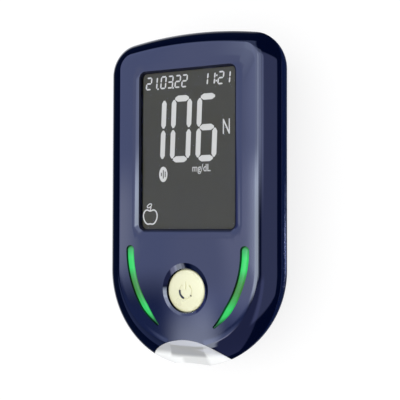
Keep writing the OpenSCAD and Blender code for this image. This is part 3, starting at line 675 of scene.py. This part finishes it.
plates = []
for figure, x in (("1", -13.61), ("0", -5.1), ("6", 3.4)):
    plates += digit(figure, x, big_rows, 5.2, 1.55, 1.75, 0.3, big_lean)
for figure, x in (("2", -14.2), ("1", -12.25), ("0", -9.25), ("3", -6.9), ("2", -4.4),
                  ("2", -2.15), ("1", 4.65), ("1", 6.9), ("2", 9.7), ("1", 11.75)):
    plates += digit(figure, x, small_rows, 1.58, 0.43, 0.43, 0.1, small_lean)
for x, y in ((-10.15, 31.6), (-5.0, 31.6), (9.1, 32.6), (9.1, 34.1)):
    plates.append(plate(leaning(patch(x, y, dot_half, dot_half), small_lean, small_rows[1]),
                        film_z, figure_t))
figures = joined(*plates)


# The unit, the letter N and two plain signs are drawn as flattened wires and printed letters.
def printed(text, x, y, w, h):
    """A printed word as a thin plate that fills a box."""
    curve = bpy.data.curves.new("word", "FONT")
    curve.body = text
    curve.offset = 0.002
    holder = bpy.data.objects.new("word", curve)
    bpy.context.scene.collection.objects.link(holder)
    bm = bmesh.new()
    bm.from_mesh(holder.to_mesh())
    bpy.data.curves.remove(curve)
    bmesh.ops.remove_doubles(bm, verts=bm.verts, dist=0.002)
    bmesh.ops.dissolve_degenerate(bm, dist=0.002, edges=bm.edges)
    corners = [(min(v.co[i] for v in bm.verts), max(v.co[i] for v in bm.verts)) for i in (0, 1)]
    (x1, x2), (y1, y2) = corners
    bm.transform(Matrix.Translation((x, y, film_z)) @ Matrix.Diagonal(
        (w / (x2 - x1), h / (y2 - y1), 1, 1)) @ Matrix.Translation((-x1, -y1, 0)))
    raised = bmesh.ops.extrude_face_region(bm, geom=bm.faces[:])
    bmesh.ops.translate(bm, vec=(0, 0, figure_t),
                        verts=[v for v in raised["geom"] if isinstance(v, bmesh.types.BMVert)])
    bmesh.ops.recalc_face_normals(bm, faces=bm.faces)
    return bm


def drawn(points, r, closed=False):
    """A drawn line of the display: a wire pressed flat."""
    bm = wire([(x, y, 0) for x, y in points], r, closed)
    bm.transform(Matrix.Translation((0, 0, film_z + figure_t / 2))
                 @ Matrix.Diagonal((1, 1, figure_t / 2 / r, 1)))
    return bm


def oval(x, y, w, h, steps=40):
    return [(x + w * nx, y + h * ny) for px, py, nx, ny in arc(0, 0, 1, 0, 360, steps)[:-1]]


letters = joined(printed("N", 11.15, 17.6, 2.2, 4.2), printed("mg/dL", 1.35, 6.75, 5.9, 2.75))
fruit = [(fruit_x + (x - fruit_x) * (1 + 0.05 * (y - fruit_y)),
          y - (0.75 if y > fruit_y else -0.45) * exp(-((x - fruit_x) / 0.9) ** 2))
         for x, y in oval(fruit_x, fruit_y, fruit_w, fruit_h)]
leaf = [(leaf_x + 0.95 * along - 0.4 * across, leaf_y + 0.6 * along + 0.5 * across)
        for across, along in oval(0, 0, 0.7, 0.75, 16)]
signs = joined(drawn(fruit, 0.2, True), drawn(leaf, 0.15, True),
               drawn([(-12.8, -3.6), (-12.75, -3.0), (-12.5, -2.4)], 0.15))
badge = combine(plate(oval(badge_x, badge_y, 1.4, 2.2), film_z, figure_t / 2),
                joined(*[plate(patch(x, badge_y, badge_bar_half, h), film_z - 0.01, 2 * figure_t)
                         for x, h in ((-9.05, 0.5), (badge_x, 1.2), (-7.75, 0.8))]))
figure_white = glowing("figure_white", (0.64, 0.64, 0.63), 0.02)
for name, bm in (("display_figures", figures), ("display_letters", letters),
                 ("display_signs", joined(signs, badge))):
    fit(finished(name, bm, figure_white), "case", "display")

dress(worked("frame_black", (0.006, 0.006, 0.007), gloss=0.5, relief=0.1), "lcd_frame")
dress(glassy("guide_milk", (0.85, 0.88, 0.9), 0.25, 1.49, clarity=0.3), "backlight_guide")
dress(worked("strip_rose", (0.42, 0.16, 0.14), gloss=0.6, clouds=1500.0, shift=0.4),
      "lcd_connector")

# ---- Circuit board -------------------------------------------------------------------------
# Glass-fibre board in green solder mask, with the button's switch and the lamps on its front
# and the chips, the radio, the crystal and the buzzer hanging from its back.

dress(worked("board_green", (0.008, 0.075, 0.03), shift=0.25, clouds=400.0, grain=6000.0,
             relief=0.2), "main_board")
dress(worked("chip_black", (0.012, 0.012, 0.013), gloss=0.5, grain=9000.0, relief=0.4),
      "microcontroller", "analog_chip", "buzzer")
dress(worked("shield_tin", (0.62, 0.62, 0.60), metal=1.0, marks=0.1, clouds=500.0),
      "radio_module", "crystal", "tact_switch")
dress(worked("part_buff", (0.30, 0.22, 0.13), shift=0.3, gloss=0.4, clouds=700.0),
      "board_parts")
dress(worked("lamp_white", (0.75, 0.76, 0.68), gloss=0.25, clouds=900.0), "bar_leds",
      "port_led")

# ---- Strip connector -----------------------------------------------------------------------
# Grey heat-proof plastic with three gilt spring fingers that press on a strip. It is soldered
# under the lower end of the board, and shows through the lens.

dress(worked("socket_grey", (0.30, 0.31, 0.33), gloss=0.4, clouds=300.0), "strip_connector")
dress(worked("finger_gilt", (0.80, 0.55, 0.22), gloss=0.22, metal=1.0, clouds=600.0),
      "strip_contacts")

# ---- Battery tray --------------------------------------------------------------------------
# A black box over the two cells, which its flanges hang on the case's rails. Nickel-plated
# plates and coil springs at its ends carry the current to the board.

cell_x, cell_z, cell_r = 5.45, 7.85, 5.25
cavity_low_y, cavity_top_y, contact_t = -9.8, 38.4, 0.4
spring_r, spring_turns, spring_rise, coil_steps = 0.2, 3, 2.1, 72
coil_wide_r, coil_narrow_r = 3.8, 2.1
dress(worked("tray_black", (0.009, 0.009, 0.01), gloss=0.42, grain=5000.0, relief=0.25),
      "battery_tray")
nickel = worked("nickel", (0.66, 0.65, 0.62), gloss=0.2, marks=0.08, metal=1.0, clouds=260.0)
dress(nickel, "bridge_contact", "terminal_contacts")


def coil(x, y, facing):
    """Contact spring that narrows towards its cell."""
    points = []
    for i in range(coil_steps + 1):
        t = i / coil_steps
        r = coil_wide_r + (coil_narrow_r - coil_wide_r) * t
        a = 2 * pi * spring_turns * t
        points.append((x + r * cos(a), y + facing * (1.5 * spring_r + spring_rise * t),
                       cell_z + r * sin(a)))
    return wire(points, spring_r)


springs = joined(coil(-cell_x, cavity_low_y + contact_t, 1),
                 coil(cell_x, cavity_top_y - contact_t, -1))
fit(finished("contact_springs", springs, nickel), "case", "contact_steel", "battery_springs")

# ---- Rear cover ----------------------------------------------------------------------------
# The tub of the case, moulded in the same navy, though its colour is painted lighter than the
# face's to stand in for more light on the back. It draws in from the seam to a flat back, and
# carries four screw posts, the rails of the battery tray and the doorway of the battery door.

side_wall, rail_z = 1.2, 2.45
rail_x, rail_w, rail_end_y = 15.44, 1.2, 38.6
door_half_w, door_low_y, door_gap = 14, -11.4, 0.12
tongue_w, tongue_lead = 1.2, 1
post_r, screw_r, head_r, seat_z, screw_room = 2.9, 0.95, 1.9, 4.0, 0.2
back_steps = 26
outside = [back_ring(i / back_steps) for i in range(1, back_steps + 1)]
tub = combine(loft([ring(0, corner_r, seam_z, seam_edge), ring(0, corner_r, seam_z - seam_edge)]
                   + outside),
              loft([back_ring(i / 10, side_wall, back_wall) for i in range(11)]))
posts = joined(*[cylinder(x, y, -1, post_r, board_z + 1) for x, y in screw_places],
               *[block(side * (rail_x + rail_w / 2), (rail_end_y + door_low_y) / 2, 0.2,
                       rail_w, rail_end_y - door_low_y, rail_z - 0.2) for side in (-1, 1)])
posts = combine(posts, loft([ring(0, corner_r, seam_z)] + outside), "INTERSECT")
tub = combine(tub, posts, "UNION")
doorway = block(0, door_low_y - door_gap + case_len / 2, -1,
                2 * (door_half_w + door_gap), case_len, rail_z + 1)
tongue_way = block(0, door_low_y - tongue_lead - door_gap + case_len / 2, back_wall,
                   2 * rail_x - 0.1, case_len, rail_z - back_wall)
for opening in (doorway, tongue_way, cylinder(0, lens_y, lens_z - lens_gap,
                                              lens_r + lens_gap, case_t, 160)):
    tub = combine(tub, opening)
for x, y in screw_places:
    tub = combine(tub, cylinder(x, y, -1, screw_r + screw_room, case_t))
    tub = combine(tub, cylinder(x, y, -1, head_r + screw_room, seat_z + 1))
back_navy_lightened = worked("back_navy_lightened", (0.0012, 0.0048, 0.037), gloss=0.14, marks=0.03, relief=0.03)
fit(finished("rear_tub", tub, back_navy_lightened), "case", "case_back", "rear_cover")

# ---- Case screws ---------------------------------------------------------------------------
# Four nickel-plated screws with cross recesses. They run from the back through the board into
# the bosses of the front cover, and draw the two covers together.

head_z, tip_z, tip_len, tip_r = 2.6, 17.37, 0.7, 0.35
recess_w, recess_len, recess_depth = 0.5, 2.2, 0.7
screw_solids = []
for x, y in screw_places:
    screw = turned([(0, head_z), (1.5, head_z), (1.78, head_z + 0.12), (head_r, head_z + 0.4),
                    (head_r, seat_z), (screw_r, seat_z), (screw_r, tip_z - tip_len),
                    (tip_r, tip_z), (0, tip_z)], (x, y, 0), 40)
    cross = combine(*[block(x, y, head_z - 0.5, w, l, recess_depth + 0.5) for w, l in (
        (recess_w, recess_len), (recess_len, recess_w))], "UNION")
    screw_solids.append(combine(screw, cross))
fit(finished("screws", joined(*screw_solids), nickel), "case", "contact_steel", "case_screws")

# ---- Cells ---------------------------------------------------------------------------------
# Two AAA cells side by side, head to tail, in plain dark jackets that are shrunk over the
# ends of the steel can.

low, shoulder = -44.5, -0.8
can_r, stud_r, mouth_r, hole_r = 4.7, 1.9, 4.2, 3.0
jacket_dark = worked("jacket_dark", (0.018, 0.018, 0.020), gloss=0.16, clouds=70.0)
for name, x, tip_y, facing in (("battery_left", -cell_x, cavity_top_y - contact_t, 1),
                               ("battery_right", cell_x, cavity_low_y + contact_t, -1)):
    can = turned([(0, low + 0.25), (3.4, low + 0.25), (3.6, low), (4.5, low),
                  (can_r, low + 0.3), (can_r, shoulder - 0.5), (2.6, shoulder - 0.1),
                  (stud_r, shoulder), (stud_r, -0.15), (stud_r - 0.15, 0), (0, 0)], (0, 0, 0),
                 64)
    jacket = turned([(mouth_r, low + 0.06), (cell_r - 0.5, low + 0.03),
                     (cell_r - 0.1, low + 0.3), (cell_r, low + 0.7), (cell_r, shoulder - 0.9),
                     (cell_r - 0.12, shoulder - 0.45), (cell_r - 0.6, shoulder - 0.12),
                     (hole_r, shoulder - 0.08), (hole_r, shoulder - 0.3),
                     (mouth_r, shoulder - 0.6), (mouth_r, low + 0.06)], (0, 0, 0))
    for bm in (can, jacket):
        bm.transform(Matrix.Translation((x, tip_y, cell_z))
                     @ Matrix.Rotation(radians(-90 * facing), 4, "X"))
    fit(finished(name + "_jacket", jacket, jacket_dark), "case", "cell_jacket", name)
    fit(finished(name + "_can", can, nickel), "case", "contact_steel")

# ---- Battery door --------------------------------------------------------------------------
# A slice of the back that slides off along +Y: its tongues run under the edges of the
# doorway. Five grip grooves and a moulded arrow show which way it goes.

plate_top, tongue_t, under = 1.45, 0.95, 0.5
grips, grip_y, grip_pitch, grip_w, grip_depth = 5, -7.4, 2.0, 14, 0.4
arrow_y, arrow_half, arrow_len = 5.6, 3, 4
slab = combine(block(0, door_low_y + case_len / 2, -under, 2 * door_half_w, case_len,
                     plate_top + tongue_t + under),
               block(0, door_low_y - tongue_lead + case_len / 2, plate_top,
                     2 * (door_half_w + tongue_w), case_len, tongue_t), "UNION")
door = combine(loft([ring(0, corner_r, seam_z)] + outside), slab, "INTERSECT")
door = combine(door, joined(
    *[block(0, grip_y + i * grip_pitch, -under, grip_w, grip_pitch / 2, grip_depth + under)
      for i in range(grips)],
    plate([(-arrow_half, arrow_y), (arrow_half, arrow_y), (0, arrow_y + arrow_len)], -under,
          grip_depth + under)))
# The door takes the tub's navy, painted lighter than the face's.
fit(finished("door_panel", door, back_navy_lightened), "door", "case_back", "battery_door")

# ---- Studio --------------------------------------------------------------------------------
# A pale floor under an even sky. Gloss mirrors a sky of its own, with soft windows of light.
# The floor takes the shadow, lets the sky's light through and is clear from below.

floor_half, floor_z, floor_light, floor_light_share = 3000, -0.3, 1.12, 0.7
ground = bmesh.new()
bmesh.ops.create_grid(ground, x_segments=1, y_segments=1, size=floor_half,
                      matrix=Matrix.Translation((0, 0, floor_z)))
ground_white = worked("ground_white", (0.9, 0.9, 0.9), shift=0.004, gloss=0.9, clouds=3.0,
                      grain=60.0)
floor = finished("ground", ground, ground_white)
floor.visible_glossy = floor.visible_diffuse = floor.visible_shadow = False
tree = ground_white.node_tree
seen = add_node(tree, "ShaderNodeLightPath").outputs["Is Camera Ray"]
white = add_node(tree, "ShaderNodeEmission", Strength=floor_light).outputs[0]
blend = mixed(tree, maths(tree, "MULTIPLY", seen, floor_light_share),
              tree.nodes["Principled BSDF"].outputs[0], white)
from_below = add_node(tree, "ShaderNodeNewGeometry").outputs["Backfacing"]
clear = tree.nodes.new("ShaderNodeBsdfTransparent").outputs[0]
tree.links.new(mixed(tree, from_below, blend, clear),
               tree.nodes["Material Output"].inputs["Surface"])

world = bpy.data.worlds.new("studio")
bpy.context.scene.world = world
world.use_nodes = True
sky = world.node_tree
sky.nodes.clear()

# A window of light on a level ceiling: places on the ceiling are told by the direction's x and
# y over its z. Every edge of a window is soft.
pane_group, given, made = new_group(
    "ceiling_window", [("Place", "NodeSocketVector", (0, 0, 0)),
                       ("Middle", "NodeSocketVector", (0, 0, 0)),
                       ("Size", "NodeSocketVector", (1, 1, 0)),
                       ("Turn", "NodeSocketFloat", 0.0), ("Blur", "NodeSocketFloat", 0.1)],
    [("Mask", "NodeSocketFloat")])
turn = add_node(pane_group, "ShaderNodeVectorRotate", Vector=given["Place"],
                Center=given["Middle"], Angle=given["Turn"])
offset = maths(pane_group, "SUBTRACT", turn.outputs[0], given["Middle"],
               kind="ShaderNodeVectorMath")
offsets = add_node(pane_group, "ShaderNodeSeparateXYZ", Vector=offset).outputs
halves = add_node(pane_group, "ShaderNodeSeparateXYZ", Vector=given["Size"]).outputs
inside = []
for axis in "XY":
    half = maths(pane_group, "MULTIPLY", halves[axis], 0.5)
    step = add_node(pane_group, "ShaderNodeMapRange",
                    Value=maths(pane_group, "ABSOLUTE", offsets[axis]),
                    From_Min=maths(pane_group, "ADD", half, given["Blur"]),
                    From_Max=maths(pane_group, "SUBTRACT", half, given["Blur"]))
    step.interpolation_type = "SMOOTHSTEP"
    inside.append(step.outputs["Result"])
pane_group.links.new(maths(pane_group, "MULTIPLY", *inside), made["Mask"])

direction = add_node(sky, "ShaderNodeTexCoord").outputs["Generated"]
axes = add_node(sky, "ShaderNodeSeparateXYZ", Vector=direction).outputs
height = maths(sky, "MAXIMUM", axes["Z"], 0.02)
ceiling = add_node(sky, "ShaderNodeCombineXYZ", X=maths(sky, "DIVIDE", axes["X"], height),
                   Y=maths(sky, "DIVIDE", axes["Y"], height)).outputs[0]


def scaled(colour, mask):
    light = sky.nodes.new("ShaderNodeVectorMath")
    light.operation = "SCALE"
    light.inputs[0].default_value = colour
    sky.links.new(mask, light.inputs["Scale"])
    return light.outputs[0]


def ceiling_window(colour, left, right, low, high, blur, turn=0):
    """Light in a rectangle of the ceiling."""
    part = sky.nodes.new("ShaderNodeGroup")
    part.node_tree = pane_group
    feed(sky, part.inputs, (ceiling, ((left + right) / 2, (low + high) / 2, 0),
                            (right - left, high - low, 0), radians(turn), blur))
    return scaled(colour, part.outputs["Mask"])


# Each light: its colour, its left, right, low and high edge, its blur, and its turn in degrees.
lights = [
    # the wide light over the face, its brighter lower corner and its stretch to the top end
    ((1.4, 1.67, 3.2), -1.05, -0.645, -0.085, 0.46, 0.035),
    ((1.62, 1.86, 3.35), -0.645, -0.41, -0.125, 0.46, 0.035),
    ((0.2, 0.3, 0.95), -1.3, -0.41, -0.33, -0.1, 0.03),
    ((1.4, 1.4, 1.4), -0.95, -0.78, -0.05, 0.07, 0.04),
    ((0.6, 0.6, 0.8), -0.52, -0.42, -0.1, 0.07, 0.03),
    ((1.3, 1.5, 1.8), -0.54, -0.43, 0.22, 0.46, 0.05),
    ((0.6, 0.75, 1.4), -1.0, 0.2, 0.46, 2.5, 0.1),
    ((0.45, 0.55, 1.7), -1.6, -1.05, -0.2, 0.5, 0.05),
    # the bright band beside it, which the right rim mirrors, strongest where it begins
    ((1.45, 1.65, 2.55), -0.42, 0.36, 0.06, 0.42, 0.05),
    ((1.45, 1.65, 2.55), -0.42, 0.54, 0.06, 0.42, 0.05),
    ((2.2, 2.5, 3.3), -0.43, 0.18, -0.105, 0.077, 0.025),
    ((2.2, 2.5, 3.1), -0.43, -0.02, -0.105, 0.077, 0.025),
    ((2.2, 2.4, 2.6), -0.43, -0.24, -0.105, 0.077, 0.025),
    ((1.2, 1.4, 2.2), -0.1, 0.46, 0.4, 0.7, 0.05),
    # three lights that only the button's dish mirrors
    ((3.6, 3.9, 4.4), -0.22, 0.02, -0.06, 0.28, 0.03),
    ((2.8, 3.0, 3.8), -0.68, -0.54, -0.66, -0.38, 0.03),
    ((3.0, 3.1, 4.4), -0.41, -0.25, -0.60, -0.33, 0.03),
    # the long panel on the right, mirrored by the right bevel
    ((0.68, 0.78, 1.6), 0.4, 2.15, -0.95, 0.58, 0.08),
    # the strip beyond the chin, broken by the window's upper border, and dim walls beside it
    ((3.5, 3.8, 4.8), -0.592, -0.50, -0.42, -0.115, 0.03, -24),
    ((1.0, 1.2, 2.0), -0.72, -0.44, -0.33, -0.18, 0.03),
    ((4.6, 5.0, 6.0), -0.56, -0.38, -1.15, -0.36, 0.05),
    ((4.2, 4.4, 5.6), -0.76, -0.50, -6, -1.15, 0.05),
    ((0.3, 0.34, 0.85), -0.42, 0.6, -6, -0.14, 0.06),
    ((0.2, 0.27, 0.65), -6, -0.95, -2.6, -0.4, 0.15),
]
# The pale floor and wall are mirrored where a surface turns away from the ceiling.
below = add_node(sky, "ShaderNodeMapRange", Value=axes["Z"], From_Min=-0.4, From_Max=-0.56)
leftward = add_node(sky, "ShaderNodeMapRange", Value=axes["X"], From_Min=-0.2, From_Max=-0.6)
low_light = scaled((0.85, 0.87, 0.92), maths(sky, "MULTIPLY", below.outputs["Result"],
                                             leftward.outputs["Result"]))
total = add_node(sky, "ShaderNodeCombineXYZ", X=0.012, Y=0.02, Z=0.05).outputs[0]
for light in [ceiling_window(*values) for values in lights] + [low_light]:
    total = maths(sky, "ADD", total, light, kind="ShaderNodeVectorMath")
mirrored_sky = add_node(sky, "ShaderNodeBackground", Color=total, Strength=1.0).outputs[0]
even_sky = add_node(sky, "ShaderNodeBackground", Color=(1, 1, 1, 1), Strength=1.0).outputs[0]
ray = add_node(sky, "ShaderNodeLightPath").outputs["Is Glossy Ray"]
out = sky.nodes.new("ShaderNodeOutputWorld")
sky.links.new(mixed(sky, ray, even_sky, mirrored_sky), out.inputs["Surface"])

# ---- Camera --------------------------------------------------------------------------------
# It looks at the face from the right, a little from below, with a 90 mm lens.

view_turn, view_rise, view_roll = 0.535697, -0.0351703, 0.0028587
view_distance, view_lens, sensor_w = 0.28102, 90.17, 36
look_at_y, look_at_z, look_aside = -0.00057, 0.020, 0.004214
away = Vector((sin(view_turn) * cos(view_rise), sin(view_rise),
               cos(view_turn) * cos(view_rise)))
sideways = Vector((cos(view_turn), 0, -sin(view_turn)))
upward = away.cross(sideways)
rolled = cos(view_roll) * sideways + sin(view_roll) * upward
camera = bpy.data.objects.new("camera", bpy.data.cameras.new("camera"))
camera.data.sensor_width = sensor_w
camera.data.lens = view_lens
camera.data.clip_start = 0.01
spot = Vector((0, look_at_y, look_at_z)) + sideways * look_aside + away * view_distance
camera.matrix_world = (Matrix.Translation(spot)
                       @ Matrix((rolled, away.cross(rolled), away)).transposed().to_4x4())
bpy.context.scene.collection.objects.link(camera)
bpy.context.scene.camera = camera
bpy.context.scene.view_settings.view_transform = "Standard"
